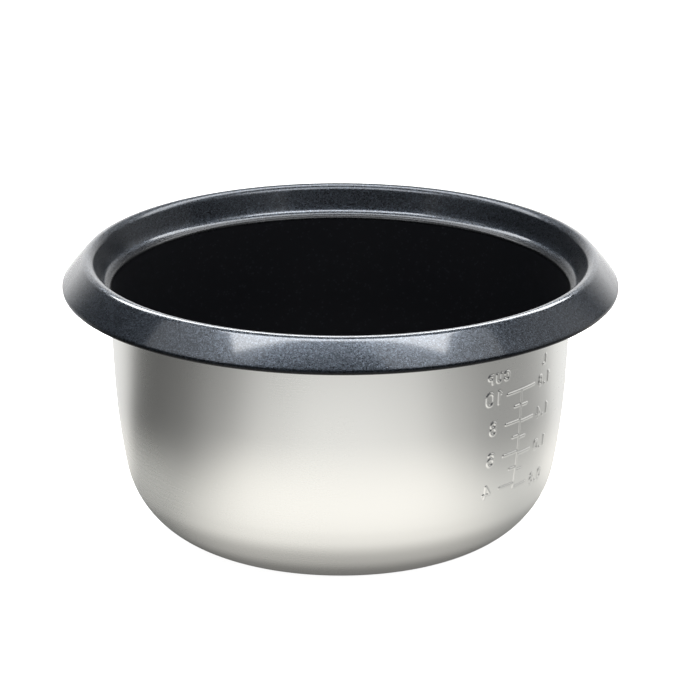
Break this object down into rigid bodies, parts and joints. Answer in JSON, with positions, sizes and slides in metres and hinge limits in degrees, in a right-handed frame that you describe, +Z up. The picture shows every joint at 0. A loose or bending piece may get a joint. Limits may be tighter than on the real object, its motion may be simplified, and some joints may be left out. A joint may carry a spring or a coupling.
{
  "type": "rice cooker inner pot",
  "caption": "Removable inner cooking pot of a rice cooker: drawn aluminium sheet with a rolled dark rim, a nonstick lining and a pressed measuring scale in cups and litres.",
  "frame": {"origin": "centre of the base, on the face that the pot stands on", "axes": "+Z up along the pot's axis; the measuring scale is on the wall at about 39 degrees from +X towards -Y"},
  "size_m": [0.272, 0.272, 0.1402],
  "materials": {
    "sheet": "satin, finely brushed round the pot",
    "lining": "baked nonstick fluoropolymer coating, black, satin, with faint flecks",
    "rim_coat": "baked nonstick fluoropolymer coating, dark blue grey with fine metallic flecks, semi-gloss"
  },
  "bodies": {
    "root": {"pot_shell": "sheet", "nonstick_lining": "lining", "rim_coating": "rim_coat"}
  },
  "joints": []
}
